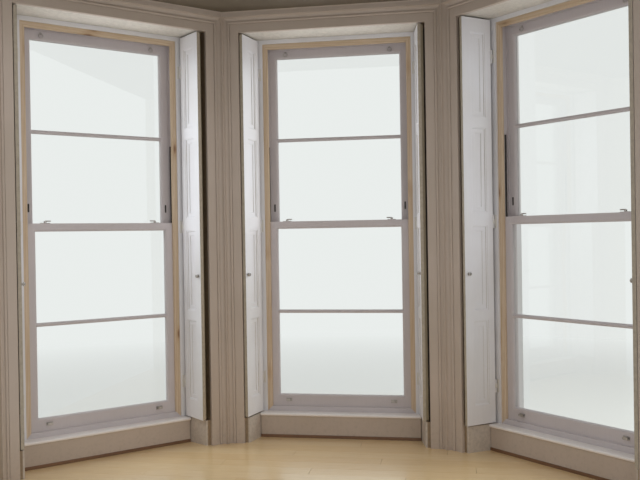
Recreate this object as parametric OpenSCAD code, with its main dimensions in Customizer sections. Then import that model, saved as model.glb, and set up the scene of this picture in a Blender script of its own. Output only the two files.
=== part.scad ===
// Canted bay window: three equal facets with box sash windows, panelled folding
// shutters in boxes, moulded architraves, masonry piers and a low lead roof.
// Plan sizes are measured along a facet (across) and into the room from the
// room face of the lower sashes (in). Heights are above the floor unless noted.

/* [Bay plan] */
// Wall beside each sash, from the sash to the corner of the bay
wall_side = 387; // [380:1:460]
// Room face of the walls, in from the lower sashes
wall_in = 272; // [262:1:300]
// Outer face of the walls, out from the lower sashes
wall_out = 190; // [170:1:260]
// Length of each end return past its inner corner
return_len = 250; // [120:10:600]
// Floor above the ground
floor_h = 900; // [600:10:1200]
// Thickness of the floor
floor_t = 150; // [100:5:250]
// Ceiling above the architraves
ceiling_gap = 12; // [5:1:90]
// Thickness of the ceiling
ceiling_t = 120; // [60:5:180]
// Wall above the ceiling
wall_over = 305; // [240:5:500]

/* [Masonry] */
// How far the plinth stands out from the wall above it
plinth_proj = 35; // [10:1:80]
// Height of the sloped top of the plinth
plinth_slope = 60; // [20:1:100]
// Outer reveal of each opening, out past the edge of the sash
reveal_off = 15; // [4:1:24]
// Underside of the lintel at the outer reveal, above the sashes
lintel_rise = 18; // [8:1:38]
// How far the cornice stands out from the wall
cornice_proj = 170; // [100:5:250]
// Height of the cornice
cornice_h = 190; // [140:5:220]
// Slope of the roof in degrees
roof_pitch = 11; // [5:1:25]
// Thickness of the roof at its eaves
eaves_t = 45; // [20:1:80]
// How far each stone cill stands out from the wall
stone_proj = 60; // [30:1:100]
// Height of the front of each stone cill
stone_t = 95; // [60:1:110]
// Fall of a stone cill's top from back to front
stone_fall = 15; // [8:1:25]
// How far a stone cill runs in under the box frame
stone_lap = 16; // [8:1:40]
// Length of each stooled end of a stone cill past the reveal
stool = 70; // [20:1:120]
// Drip groove's distance from the front of its stone cill
drip_in = 14; // [8:1:25]
// Width of the drip groove
drip_w = 10; // [6:1:14]
// Depth of the drip groove
drip_d = 8; // [4:1:12]
// Clearance where floors, stones and frames are set against the masonry
bed = 0.3; // [0.2:0.1:0.6]

/* [Frames] */
// Width of the hollow box beside each sash
box_w = 85; // [70:1:90]
// Clearance of a sash to its pulley stile, lining and head
sash_gap = 2; // [1:0.5:4]
// Thickness of each outer lining
outer_lining_t = 16; // [12:1:18]
// How far beads and linings lap over a sash
lap = 10; // [6:1:14]
// Thickness of the parting bead
parting_t = 8; // [6:1:10]
// Width of the staff bead
bead_w = 36; // [28:1:40]
// Thickness of the staff bead
bead_t = 22; // [16:1:25]
// Radius of the staff bead's rounded edge
bead_round = 8; // [3:1:12]
// Top of the timber cill under the lower sash
cill_h = 213; // [190:1:260]
// Height of the timber cill
cill_t = 73; // [55:1:85]
// Fall of the timber cill across the box frame
cill_fall = 22; // [10:1:30]
// How far the timber cill runs out past the box frame
cill_proj = 44; // [20:1:60]
// Further fall of the timber cill out to its front
cill_nose = 14; // [6:1:20]
// Rise of the timber cill's underside at its front
cill_throat = 8; // [2:1:12]

/* [Sashes] */
// Width of each sash
sash_w = 1060; // [940:1:1180]
// Thickness of each sash
sash_t = 45; // [42:1:48]
// Width of the sash stiles
stile_w = 64; // [50:1:75]
// Height of the lower sash's bottom rail
bottom_rail = 90; // [70:1:110]
// Height of both meeting rails
meeting_rail = 54; // [35:1:60]
// Height of the upper sash's top rail
top_rail = 69; // [50:1:80]
// Thickness of the glazing bars
bar_t = 24; // [18:1:30]
// Top of the meeting rails
meeting_h = 1606; // [1400:1:1800]
// Top of the upper sash
sash_top_h = 2912; // [2600:1:3200]
// Thickness of the glass
glass_t = 6; // [4:1:8]
// Width of the moulding and of the putty round each pane
pane_mould = 11; // [6:1:12]

/* [Shutters] */
// Hinge line, out past the edge of the sash
hinge_off = 52; // [48:1:60]
// Hinge line, in from the lower sash
hinge_in = 49; // [46:1:60]
// Hinge line, in front of the hanging stile
hinge_proud = 15; // [12:1:18]
// Splay of the shutter boxes in degrees
splay = 13.3; // [10:0.1:14]
// How far the leaves stay behind the face of the architrave
leaf_reveal = 2.8; // [0:0.1:10]
// Thickness of each front leaf
leaf_t = 22; // [20:1:24]
// Thickness of each back flap
flap_t = 18; // [15:1:20]
// How much narrower a back flap is than its leaf
flap_short = 26; // [20:1:60]
// Gap between a leaf and its folded flap, filled at the flap's hinges
fold_gap = 2; // [1:0.5:3]
// Clearance behind a folded pack
box_gap = 8; // [6:1:12]
// Thickness of the box linings
lining_t = 12; // [9:1:15]
// Gap under the leaves, over the window board
leaf_foot_gap = 8; // [5:1:20]
// Gap over the leaves, under the soffit
leaf_top_gap = 11; // [6:1:20]
// Gap under the leaves, over the plain base panel
base_gap = 10; // [6:1:20]
// Soffit of the recess, above the sashes
soffit_rise = 59; // [50:1:80]
// Stile on the hinge side of a leaf
hinge_stile = 54; // [45:1:65]
// Stile on the room side of a leaf
room_stile = 72; // [60:1:85]
// Bottom rail of a leaf
leaf_foot_rail = 130; // [90:1:160]
// Rail over the bottom panel
leaf_low_rail = 70; // [50:1:90]
// Middle rail, which carries the knob
leaf_lock_rail = 90; // [60:1:120]
// Rail under the top panel
leaf_high_rail = 70; // [50:1:90]
// Top rail of a leaf
leaf_top_rail = 95; // [70:1:120]
// Depth of the sunk margin round each panel
panel_sink = 7; // [5:1:8]
// Width of the sunk margin
margin_w = 13; // [8:1:16]
// Width of the sticking from the stile down to the sunk margin
sticking = 6; // [3:1:8]
// Height of the raised field above the sunk margin
field_rise = 5; // [3:1:5]
// Depth of the plain panels on the hidden faces
back_sink = 4; // [2:1:5]
// Width of the bevel round those panels
back_bevel = 2; // [1:0.5:4]
// Knob above the floor
knob_h = 1220; // [1000:5:1500]
// Knob's distance from the room edge of its leaf
knob_edge = 32; // [22:1:45]
// Diameter of the knob
knob_d = 26; // [18:1:32]
// How far the knob stands out
knob_proj = 24; // [16:1:28]
// How far the knob's shank runs into its leaf
knob_root = 2; // [1:0.5:4]

/* [Shutter positions] */
// How far the right pack of the left window stands out of its box, in degrees
left_right_ajar = 10.5; // [0:0.5:100]
// How far the right pack of the centre window stands out of its box, in degrees
centre_right_ajar = 5; // [0:0.5:100]
// How far the left pack of the right window stands out of its box, in degrees
right_left_ajar = 6; // [0:0.5:100]

/* [Shutter hinges] */
// Diameter of the hinge knuckles
knuckle_d = 10; // [8:1:12]
// Diameter of the hinge pins
pin_d = 4; // [3:0.5:5]
// Clearance of the knuckles
knuckle_gap = 0.3; // [0.2:0.1:0.6]
// Height of one hinge
hinge_h = 90; // [70:5:120]
// Hinge centres from the foot and from the top of a leaf
hinge_end = 250; // [150:10:400]
// Width of a hinge's fixed plate
hinge_plate_w = 22; // [16:1:30]
// Thickness of a hinge's fixed plate
hinge_plate_t = 2; // [1.5:0.5:3]
// Thickness of the straps from the plates to the knuckles
strap_t = 3; // [2:0.5:4]
// Diameter of the flap hinges' knuckles
flap_knuckle_d = 6; // [4:0.5:7]
// Height of one flap hinge
flap_hinge_h = 64; // [40:2:90]
// Width of a flap hinge's shut plates
flap_plate_w = 26; // [16:1:40]

/* [Linings and trim] */
// Room face of each apron, in from the lower sash
apron_in = 95; // [90:1:110]
// Thickness of each apron
apron_t = 15; // [12:1:20]
// Top of the window board, below the timber cill
board_drop = 31; // [20:1:45]
// Thickness of the window boards
board_t = 22; // [18:1:28]
// How far a window board's nosing runs past the apron
nosing = 14; // [6:1:18]
// Inner edge of each architrave, out past the face of the shutters
arch_off = 33.3; // [30:0.1:40]
// Thickness of the architrave's flat fascia
arch_t = 25; // [22:1:28]
// Width of the flat fascia
fascia_w = 60; // [50:1:64]
// Size of the eased inner edge and of the quirk beside the bead
quirk_w = 3; // [1:0.5:5]
// Depth of the quirk beside the bead
quirk_d = 4; // [2:0.5:6]
// Width of the architrave's bead
arch_bead = 20; // [14:1:22]
// Width over all of the head of each architrave
arch_w = 132; // [120:1:136]
// Thickness over all of the architrave
arch_back_t = 60; // [50:1:66]
// Thickness of the fillet at the top of the hollow
fillet_t = 6; // [3:1:10]

/* [Sash fittings] */
// Fasteners, lifts and eyes, in from the edge of the sash
fitting_off = 135; // [90:5:230]
// Thickness of the plates of fasteners, lifts and eyes
plate_t = 4; // [3:0.5:5]
// Length of a fastener's base
fastener_l = 60; // [45:1:75]
// Width of a fastener's base
fastener_w = 28; // [20:1:34]
// Height over all of a fastener
fastener_h = 24; // [16:1:30]
// Diameter of a fastener's post
post_d = 18; // [12:1:22]
// Diameter of a fastener's arm
arm_d = 8; // [6:1:10]
// Outer diameter of a ring eye
eye_d = 34; // [24:1:40]
// Thickness of a ring eye's wire
eye_wire = 5; // [4:0.5:7]
// Diameter of a ring eye's plate
eye_plate_d = 16; // [12:1:20]
// Width of a lift's plate
lift_w = 44; // [34:1:60]
// Height of a lift's plate
lift_h = 24; // [18:1:34]
// How far a lift's hook stands out
lift_reach = 20; // [14:1:26]
// Diameter of a balance tube
tube_d = 12; // [10:1:14]
// Top of the balance tubes, above the meeting rails
tube_rise = 564; // [400:1:900]

/* [Hidden] */
$fn = 32;

// The three facets and the two returns turn through half a circle in four equal bends
bend = 180 / 4;
facet_len = sash_w + 2 * wall_side;
apothem = facet_len / 2 / tan(bend / 2);
LEFT = 1;
CENTRE = 0;
RIGHT = -1;
FACETS = [LEFT, CENTRE, RIGHT];
SIDES = [-1, 1];
// Longer than the whole bay, for cuts that run right through
FAR = 9000;
// Overlap between the parts of one solid
weld = 1;
back_y = (apothem - wall_in) * tan(bend / 2) - return_len;
front_y = apothem + wall_out + cornice_proj;
centre_y = (back_y + front_y) / 2;

// Sash and frame sizes
frame_w = sash_w + 2 * box_w;
frame_t = 2 * sash_t + parting_t + sash_gap + outer_lining_t;
reveal_w = sash_w + 2 * reveal_off;
glass_w = sash_w - 2 * stile_w;
stile_face = sash_w / 2 + sash_gap;
bead_across = sash_w / 2 - lap;
bead_out = bead_across + bead_w;
upper_in = sash_t + parting_t;
fitting_across = sash_w / 2 - fitting_off;

// Heights
cill_foot_h = cill_h - cill_t;
board_h = cill_h - board_drop;
board_foot_h = board_h - board_t;
bead_foot_h = board_h + bead_w;
upper_foot_h = meeting_h - meeting_rail;
tube_top_h = meeting_h + tube_rise;
head_face_h = sash_top_h + sash_gap;
bead_head_h = head_face_h - lap;
lintel_h = sash_top_h + lintel_rise;
soffit_h = sash_top_h + soffit_rise;
head_h = soffit_h + lining_t + sash_gap;
ceiling_h = soffit_h + arch_w + ceiling_gap;
wall_top_h = ceiling_h + wall_over;
stone_bed_h = cill_foot_h - stone_t - stone_fall;

// Shutter pack and its box
pack_t = leaf_t + fold_gap + flap_t;
box_t = pack_t + box_gap;
box_outer_t = box_t + lining_t;
hinge_across = sash_w / 2 + hinge_off;
hanging_t = hinge_in - hinge_proud;
leaf_w = (wall_in + arch_t - leaf_reveal - hinge_in) / cos(splay);
leaf_start = knuckle_d / 2 + weld;
flap_w = leaf_w - leaf_start - flap_short;
leaf_foot_h = board_h + leaf_foot_gap;
leaf_top_h = soffit_h - leaf_top_gap;
leaf_h = leaf_top_h - leaf_foot_h;
base_h = leaf_foot_h - base_gap;
hinge_third = hinge_h / 3;
hinge_heights = [leaf_foot_h + hinge_end, (leaf_foot_h + leaf_top_h) / 2, leaf_top_h - hinge_end];
rails_under = [leaf_foot_rail, leaf_low_rail, leaf_lock_rail, leaf_high_rail];
panel_h = (leaf_h - leaf_foot_rail - leaf_low_rail - leaf_lock_rail - leaf_high_rail - leaf_top_rail) / 4;
function sum(v, n) = n < 0 ? 0 : v[n] + sum(v, n - 1);
function panel_middle(i) = leaf_foot_h + sum(rails_under, i) + (i + 0.5) * panel_h;
// Left pack, then right pack, of the left, centre and right window
AJAR = [[0, left_right_ajar], [0, centre_right_ajar], [right_left_ajar, 0]];
function ajar(facet_side, pack_side) = AJAR[LEFT - facet_side][pack_side < 0 ? 0 : 1];

function face_across(in) = hinge_across + (in - hinge_in) * tan(splay);
function box_across(in, depth) = face_across(in) + depth / cos(splay);
arch_across = face_across(wall_in) + arch_off;

function arc(c, r, from, to, steps = 8) =
    [for (i = [0:steps]) c + r * [cos(from + (to - from) * i / steps), sin(from + (to - from) * i / steps)]];

// Placing
module placed() {
    translate([0, -centre_y, 0]) children();
}

module at_facet(side) {
    placed() rotate(bend * side) translate([0, apothem, floor_h]) children();
}

module both_sides() {
    children();
    mirror([1, 0, 0]) children();
}

module on_side(side) {
    if (side < 0) mirror([1, 0, 0]) children();
    else children();
}

// Plan of the bay, with its walls' face moved in by the given distance
module plan(in) {
    intersection() {
        rotate(bend / 2) circle(r = (apothem - in) / cos(bend / 2), $fn = 8);
        translate([-FAR / 2, back_y]) square(FAR);
    }
}

// Solid swept round the plan from points of distance out from the centre and height
module swept(points) {
    intersection() {
        rotate(bend / 2) rotate_extrude($fn = 8) polygon([for (p = points) [p[0] / cos(bend / 2), p[1]]]);
        translate([-FAR / 2, back_y, -FAR]) cube([FAR, FAR, 2 * FAR]);
    }
}

// The wedge of the plan that belongs to one facet, in the facet's own frame
module facet_wedge(h0, h1) {
    translate([0, -apothem, h0]) linear_extrude(h1 - h0)
        polygon([[0, 0], [FAR * tan(bend / 2), FAR], [-FAR * tan(bend / 2), FAR]]);
}

// A bar along the facet from points of (in, height)
module bar(width, points) {
    rotate([90, 0, 90]) linear_extrude(width, center = true) polygon([for (p = points) [-p[0], p[1]]]);
}

// Tapered block into +Y: full size on its face, less by run on each side at the given depth
module taper(w, h, depth, run) {
    k = run * weld / depth;
    outline_w = [[-w / 2 - k, -weld], [w / 2 + k, -weld], [w / 2 - run, depth], [run - w / 2, depth]];
    outline_h = [[-h / 2 - k, -weld], [h / 2 + k, -weld], [h / 2 - run, depth], [run - h / 2, depth]];
    intersection() {
        linear_extrude(h + 2 * k, center = true) polygon(outline_w);
        rotate([0, -90, 0]) linear_extrude(w + 2 * k, center = true) polygon(outline_h);
    }
}

// Children turned to face the other way at the given depth
module from_back(depth) {
    translate([0, depth, 0]) mirror([0, 1, 0]) children();
}

// Mitred trim all round an opening of the facet, as one ring. The profile's points are (out from the
// opening, in), in clockwise order.
module trim_ring(half_w, foot, top, profile) {
    n = len(profile);
    corners = [[1, foot, -1], [1, top, 1], [-1, top, 1], [-1, foot, -1]];
    points = [for (c = corners) for (p = profile) [c[0] * (half_w + p[0]), -p[1], c[1] + c[2] * p[0]]];
    faces = [for (k = [0:3]) for (i = [0:n - 1]) let (j = (i + 1) % n, m = (k + 1) % 4)
             [k * n + j, k * n + i, m * n + i, m * n + j]];
    polyhedron(points, faces);
}

// Plan of the hole that the piers leave, from outer reveal to splayed inner reveal
opening_half = [[reveal_w / 2, -wall_out - weld], [reveal_w / 2, -frame_t], [frame_w / 2, -frame_t],
                [frame_w / 2, 0], [box_across(0, box_outer_t), 0],
                [box_across(wall_in, box_outer_t), wall_in],
                [box_across(wall_in, box_outer_t), wall_in + weld]];
module opening_plan() {
    n = len(opening_half);
    polygon([for (i = [0:2 * n - 1]) i < n ? [opening_half[i][0], -opening_half[i][1]]
                                           : [-opening_half[2 * n - 1 - i][0], -opening_half[2 * n - 1 - i][1]]]);
}

module openings_plan() {
    for (side = FACETS) rotate(bend * side) translate([0, apothem]) opening_plan();
}

// Masonry
module plinth() {
    top = floor_h - floor_t;
    inner = apothem - wall_in;
    outer = apothem + wall_out;
    color("#a79e90") placed() swept([
        [inner, 0], [outer + plinth_proj, 0], [outer + plinth_proj, top - plinth_slope], [outer, top], [inner, top]]);
}

module piers_plan() {
    difference() {
        plan(-wall_out);
        plan(wall_in);
        openings_plan();
    }
}

// From the middle of one side facet to the middle of the other
module corner_zone() {
    polygon([[0, 0], FAR * [sin(bend), cos(bend)], FAR * [-sin(bend), cos(bend)]]);
}

module pier_height() {
    color("#b3a999") placed() translate([0, 0, floor_h - floor_t + bed])
        linear_extrude(wall_top_h + floor_t - bed) children();
}

module corner_piers() {
    pier_height() intersection() {
        piers_plan();
        corner_zone();
    }
}

module end_piers() {
    pier_height() difference() {
        piers_plan();
        corner_zone();
    }
}

// Between the piers of one facet, cut to a section of (in, height) points
module in_opening(points) {
    intersection() {
        translate([0, 0, -floor_t]) linear_extrude(wall_top_h + floor_t) offset(delta = -bed) opening_plan();
        bar(FAR, points);
    }
}

module spandrel_walls() {
    back = apron_in - apron_t;
    seat = stone_lap - frame_t;
    color("#b3a999") for (side = FACETS) at_facet(side) in_opening([
        [-wall_out, bed - floor_t], [-wall_out, stone_bed_h], [seat, stone_bed_h], [seat, cill_foot_h],
        [0, cill_foot_h], [0, board_foot_h], [back, board_foot_h], [back, bed - floor_t]]);
}

module lintels() {
    top = wall_top_h - bed;
    color("#b3a999") for (side = FACETS) at_facet(side) in_opening([
        [-wall_out, lintel_h], [-frame_t, lintel_h], [-frame_t, head_h], [wall_in, head_h],
        [wall_in, top], [-wall_out, top]]);
}

// A cavetto, a fillet, a large quarter hollow and a square top member
module cornice() {
    z = floor_h + wall_top_h;
    face = apothem + wall_out;
    cove = cornice_proj / 4;
    neck = face + cornice_proj / 10;
    shoulder = face + cornice_proj * 2 / 5;
    lip = face + cornice_proj * 7 / 8;
    fillet = cornice_h * 7 / 10;
    top_member = cornice_h / 5;
    ovolo = cornice_h / 3;
    color("#c2b8a6") placed() swept(concat(
        [[face, z], [face, z - cornice_h], [neck, z - cornice_h]],
        arc([neck, z - cornice_h + cove], cove, -90, 0, 5),
        [[shoulder, z - fillet]],
        arc([shoulder, z - fillet + ovolo * 1.2], ovolo, -90, -20, 6),
        [[lip, z - top_member * 2], [lip, z - top_member * 1.2], [face + cornice_proj, z - top_member],
         [face + cornice_proj, z]]));
}

module roof() {
    z = floor_h + wall_top_h;
    eaves = apothem + wall_out + cornice_proj;
    color("#8b8f94") placed() swept([
        [0, z], [eaves, z], [eaves, z + eaves_t], [0, z + eaves_t + eaves * tan(roof_pitch)]]);
}

module stone_cills() {
    back = stone_lap - frame_t;
    front = -wall_out - stone_proj;
    top = cill_foot_h;
    drip = front + drip_in;
    weathering = stone_fall / 4;
    section = [[back, stone_bed_h], [back, top], [front + weathering, top - stone_fall],
               [front, top - stone_fall - weathering], [front, stone_bed_h], [drip, stone_bed_h],
               [drip, stone_bed_h + drip_d], [drip + drip_w, stone_bed_h + drip_d], [drip + drip_w, stone_bed_h]];
    color("#c9bfae") for (side = FACETS) at_facet(side) {
        bar(reveal_w - 2 * bed, section);
        intersection() {
            bar(reveal_w + 2 * stool, section);
            translate([-FAR / 2, wall_out + bed, 0]) cube(FAR);
        }
    }
}

// Floor and ceiling
module floor() {
    // runs into the recess of each window, between the piers
    color("#c99a5b") placed() translate([0, 0, floor_h - floor_t + bed]) linear_extrude(floor_t - bed)
        difference() {
            plan(apron_in - apron_t + bed);
            offset(delta = bed) piers_plan();
        }
}

module ceiling() {
    color("#d8cfbd") placed() translate([0, 0, floor_h + ceiling_h])
        linear_extrude(ceiling_t) plan(wall_in + bed);
}

// Inside trim under the windows
module aprons() {
    back = apron_in - apron_t;
    color("#cfc4b2") for (side = FACETS) at_facet(side)
        linear_extrude(board_foot_h) polygon([
            [face_across(back), -back], [face_across(apron_in), -apron_in],
            [-face_across(apron_in), -apron_in], [-face_across(back), -back]]);
}

module window_boards() {
    edge = apron_in + nosing;
    r = board_t / 2;
    color("#e2dccf") for (side = FACETS) at_facet(side)
        bar(2 * bead_out, concat([[0, board_h], [0, board_foot_h]], arc([edge - r, board_h - r], r, -90, 90, 10)));
}

// Box frames and sashes
module frame(side) {
    jamb = frame_w / 2 - bead_across - bed;
    groove = stile_face - bead_across;
    lining = outer_lining_t - frame_t;
    parting = -sash_t - parting_t;
    // distances out from the lining's edge, and in
    profile = [[0, lining], [groove, lining], [groove, parting], [sash_gap, parting], [sash_gap, -sash_t],
               [groove, -sash_t], [groove, 0], [jamb, 0], [jamb, -frame_t], [0, -frame_t]];
    nose_h = cill_h - cill_fall;
    color("#e6ddd6") at_facet(side) {
        intersection() {
            trim_ring(bead_across, cill_foot_h - weld, bead_head_h, profile);
            translate([-FAR / 2, -FAR / 2, cill_foot_h]) cube([FAR, FAR, head_h - cill_foot_h]);
        }
        bar(frame_w - 2 * bed,
            [[0, cill_foot_h], [0, cill_h], [-sash_t, cill_h], [-frame_t, nose_h], [-frame_t, cill_foot_h]]);
        bar(reveal_w - 2 * bed,
            [[-frame_t, cill_foot_h], [-frame_t, nose_h], [-frame_t - cill_proj, nose_h - cill_nose],
             [-frame_t - cill_proj, cill_foot_h + cill_throat]]);
    }
}

// Holes for the glass, moulded on the room side and puttied outside
module pane_holes(foot, top) {
    w = glass_w + 2 * pane_mould;
    h = top - foot;
    translate([0, 0, foot + h / 2]) {
        cube([glass_w, FAR, h], center = true);
        taper(w, h + 2 * pane_mould, pane_mould, pane_mould);
        from_back(sash_t) taper(w, h + 2 * pane_mould, pane_mould, pane_mould);
    }
}

module sash(foot, top, bottom_h, top_h) {
    glass_foot = foot + bottom_h;
    glass_top = top - top_h;
    middle = (glass_foot + glass_top) / 2;
    difference() {
        translate([-sash_w / 2, 0, foot]) cube([sash_w, sash_t, top - foot]);
        pane_holes(glass_foot, middle - bar_t / 2);
        pane_holes(middle + bar_t / 2, glass_top);
    }
}

module lower_sash(side) {
    color("#ddd3cc") at_facet(side) sash(cill_h, meeting_h, bottom_rail, meeting_rail);
}

module upper_sash(side) {
    color("#ddd3cc") at_facet(side) translate([0, upper_in, 0])
        sash(upper_foot_h, sash_top_h, meeting_rail, top_rail);
}

module panes(foot, top, bottom_h, top_h) {
    middle = (foot + bottom_h + top - top_h) / 2;
    for (span = [[foot + bottom_h, middle - bar_t / 2], [middle + bar_t / 2, top - top_h]])
        translate([-glass_w / 2, (sash_t - glass_t) / 2, span[0]]) cube([glass_w, glass_t, span[1] - span[0]]);
}

module glass_panes() {
    color("#bcd2d6", 0.5) for (side = FACETS) at_facet(side) {
        panes(cill_h, meeting_h, bottom_rail, meeting_rail);
        translate([0, upper_in, 0]) panes(upper_foot_h, sash_top_h, meeting_rail, top_rail);
    }
}

module staff_beads() {
    profile = concat([[bead_w, 0], [0, 0], [0, bead_t - bead_round]],
                     arc([bead_round, bead_t - bead_round], bead_round, 180, 90, 6), [[bead_w, bead_t]]);
    color("#c79a63") for (side = FACETS) at_facet(side)
        trim_ring(bead_across, bead_foot_h, bead_head_h, profile);
}

// Architraves: flat fascia, quirk, bead, hollow and back fillet
arch_face = wall_in + arch_t;
arch_back = wall_in + arch_back_t;
bead_x = fascia_w + quirk_w;
hollow_r = arch_back_t - arch_t - quirk_d - fillet_t;
arch_profile = concat(
    [[0, wall_in], [0, arch_face - quirk_w], [quirk_w, arch_face], [fascia_w, arch_face],
     [fascia_w, arch_face - quirk_d], [bead_x, arch_face - quirk_d]],
    arc([bead_x + arch_bead / 2, arch_face], arch_bead / 2, 180, 0, 8),
    arc([bead_x + arch_bead, arch_back - fillet_t], hollow_r, -90, 0, 8),
    [[bead_x + arch_bead + hollow_r, arch_back], [arch_w, arch_back], [arch_w, wall_in]]);

module architrave(side) {
    color("#cdc1ae") at_facet(side) intersection() {
        trim_ring(arch_across, -weld, soffit_h, arch_profile);
        facet_wedge(0, ceiling_h);
    }
}

// Shutter boxes: back linings, hanging stiles, base panels, soffit and head, clear of the window board
module shutter_boxes(side) {
    apron_back = apron_in - apron_t;
    color("#d9d0c2") at_facet(side) difference() {
        union() {
            both_sides() box_side();
            box_head();
        }
        translate([-FAR / 2, -apron_back, 0]) cube([FAR, apron_back, board_foot_h]);
    }
}

module box_side() {
    back = box_t + weld;
    linear_extrude(head_h) polygon([
        [box_across(0, box_t), 0], [box_across(wall_in, box_t), -wall_in],
        [box_across(wall_in, box_outer_t) - bed, -wall_in], [box_across(0, box_outer_t) - bed, 0]]);
    linear_extrude(head_h) polygon([
        [bead_out, 0], [bead_out, -hanging_t], [box_across(hanging_t, back), -hanging_t], [box_across(0, back), 0]]);
    linear_extrude(base_h) polygon([
        [face_across(hanging_t), 0], [face_across(wall_in), -wall_in],
        [box_across(wall_in, back), -wall_in], [box_across(0, back), 0]]);
}

module box_head() {
    back = box_t + weld;
    stop_h = bead_head_h + bead_w;
    translate([0, 0, soffit_h]) linear_extrude(head_h - soffit_h) polygon([
        [box_across(0, back), 0], [box_across(wall_in, back), -wall_in],
        [-box_across(wall_in, back), -wall_in], [-box_across(0, back), 0]]);
    translate([-box_across(0, box_t), -hanging_t, stop_h])
        cube([2 * box_across(0, box_t), hanging_t, head_h - stop_h]);
}

// Shutters, drawn from the hinge line along the leaf with the panelled face at y = 0
module at_hinge(facet_side, pack_side) {
    at_facet(facet_side) on_side(pack_side) translate([hinge_across, -hinge_in, 0])
        rotate(splay - 90 - ajar(facet_side, pack_side)) children();
}

module raised_panel(w, h) {
    // the sunk and bevelled margin round a raised field
    difference() {
        taper(w, h, panel_sink, sticking);
        from_back(panel_sink) taper(w - 2 * margin_w, h - 2 * margin_w, field_rise, margin_w);
    }
}

module leaf_block() {
    panel_w = leaf_w - leaf_start - hinge_stile - room_stile;
    panel_x = leaf_start + hinge_stile + panel_w / 2;
    difference() {
        translate([leaf_start, 0, leaf_foot_h]) cube([leaf_w - leaf_start, leaf_t, leaf_h]);
        for (i = [0:3]) translate([panel_x, 0, panel_middle(i)]) {
            raised_panel(panel_w, panel_h);
            from_back(leaf_t) taper(panel_w, panel_h, back_sink, back_bevel);
        }
    }
}

module leaf_knuckles() {
    knuckle_h = hinge_third - knuckle_gap;
    for (z = hinge_heights) for (end = SIDES)
        translate([0, 0, z + end * (hinge_third + knuckle_gap / 2) - knuckle_h / 2]) difference() {
            union() {
                cylinder(d = knuckle_d, h = knuckle_h);
                cube([leaf_start + weld, strap_t, knuckle_h]);
            }
            translate([0, 0, -weld]) cylinder(d = pin_d + 2 * knuckle_gap, h = hinge_third + 2 * weld);
        }
}

module knob() {
    // rose, waist and rounded grip
    rose = knob_d * 0.42;
    waist = knob_d * 0.2;
    grip = knob_d / 2;
    translate([leaf_w - knob_edge, 0, knob_h]) rotate([90, 0, 0]) rotate_extrude() polygon(concat(
        [[0, -knob_root], [rose, -knob_root], [rose, knob_root], [waist, 2 * knob_root], [waist, knob_proj * 0.45]],
        arc([0, knob_proj * 0.66], grip, -12, 12, 2),
        arc([0, knob_proj - grip], grip, 35, 90, 5)));
}

module leaf(facet_side, pack_side) {
    color("#f0eeea") at_hinge(facet_side, pack_side) {
        leaf_block();
        leaf_knuckles();
        knob();
    }
}

module flap_hinge() {
    // leaves shut against each other, with the knuckle on the flap's room edge
    r = flap_knuckle_d / 2;
    translate([flap_w - flap_plate_w, -fold_gap, 0]) cube([flap_plate_w + r, fold_gap, flap_hinge_h]);
    translate([flap_w + r, r - fold_gap + knuckle_gap, 0]) cylinder(r = r, h = flap_hinge_h);
}

module flap(facet_side, pack_side) {
    panel_w = flap_w - 2 * hinge_stile;
    color("#e8e6e1") at_hinge(facet_side, pack_side) translate([leaf_start, leaf_t + fold_gap, 0]) {
        difference() {
            translate([0, 0, leaf_foot_h]) cube([flap_w, flap_t, leaf_h]);
            for (i = [0:3]) translate([flap_w / 2, 0, panel_middle(i)]) {
                taper(panel_w, panel_h, back_sink, back_bevel);
                from_back(flap_t) taper(panel_w, panel_h, back_sink, back_bevel);
            }
        }
        for (z = hinge_heights) translate([0, 0, z - flap_hinge_h / 2]) flap_hinge();
    }
}

module shutter_hinges() {
    stile_face_in = hinge_in - hanging_t;
    color("#8c7a55") for (facet_side = FACETS) for (pack_side = SIDES) for (z = hinge_heights)
        at_facet(facet_side) on_side(pack_side) translate([hinge_across, -hinge_in, z]) {
            cylinder(d = knuckle_d, h = hinge_third, center = true);
            cylinder(d = pin_d, h = hinge_h, center = true);
            translate([-strap_t / 2, 0, -hinge_third / 2]) cube([strap_t, stile_face_in, hinge_third]);
            translate([hinge_plate_w * 0.27 - hinge_plate_w, stile_face_in - hinge_plate_t, -hinge_h / 2])
                cube([hinge_plate_w, hinge_plate_t, hinge_h]);
        }
}

// Fittings of the sashes
module fastener() {
    // on top of the lower sash's meeting rail
    middle = sash_t / 2;
    arm_h = fastener_h - arm_d / 2 - plate_t;
    translate([-fastener_l / 2, middle - fastener_w / 2, 0]) cube([fastener_l, fastener_w, plate_t]);
    translate([0, middle, 0]) cylinder(d = post_d, h = arm_h);
    translate([0, middle, arm_h]) rotate([0, 90, 0]) cylinder(d = arm_d, h = fastener_l * 0.62);
}

module ring_eye() {
    stem = plate_t + eye_wire;
    translate([0, -plate_t - eye_wire / 2, -eye_d / 2]) rotate([90, 0, 0])
        rotate_extrude() translate([(eye_d - eye_wire) / 2, 0]) circle(d = eye_wire, $fn = 16);
    translate([0, 0, -eye_wire / 2]) rotate([90, 0, 0]) cylinder(d = eye_wire, h = stem);
    rotate([90, 0, 0]) cylinder(d = eye_plate_d, h = plate_t - weld);
}

module lift() {
    hook_w = lift_w - 2 * plate_t;
    translate([-lift_w / 2, -plate_t, -lift_h / 2]) cube([lift_w, plate_t, lift_h]);
    translate([-hook_w / 2, -lift_reach, -lift_h / 4]) cube([hook_w, lift_reach, plate_t + weld]);
    translate([-hook_w / 2, -lift_reach, -lift_h / 4]) cube([hook_w, plate_t, lift_h * 0.6]);
}

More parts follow.
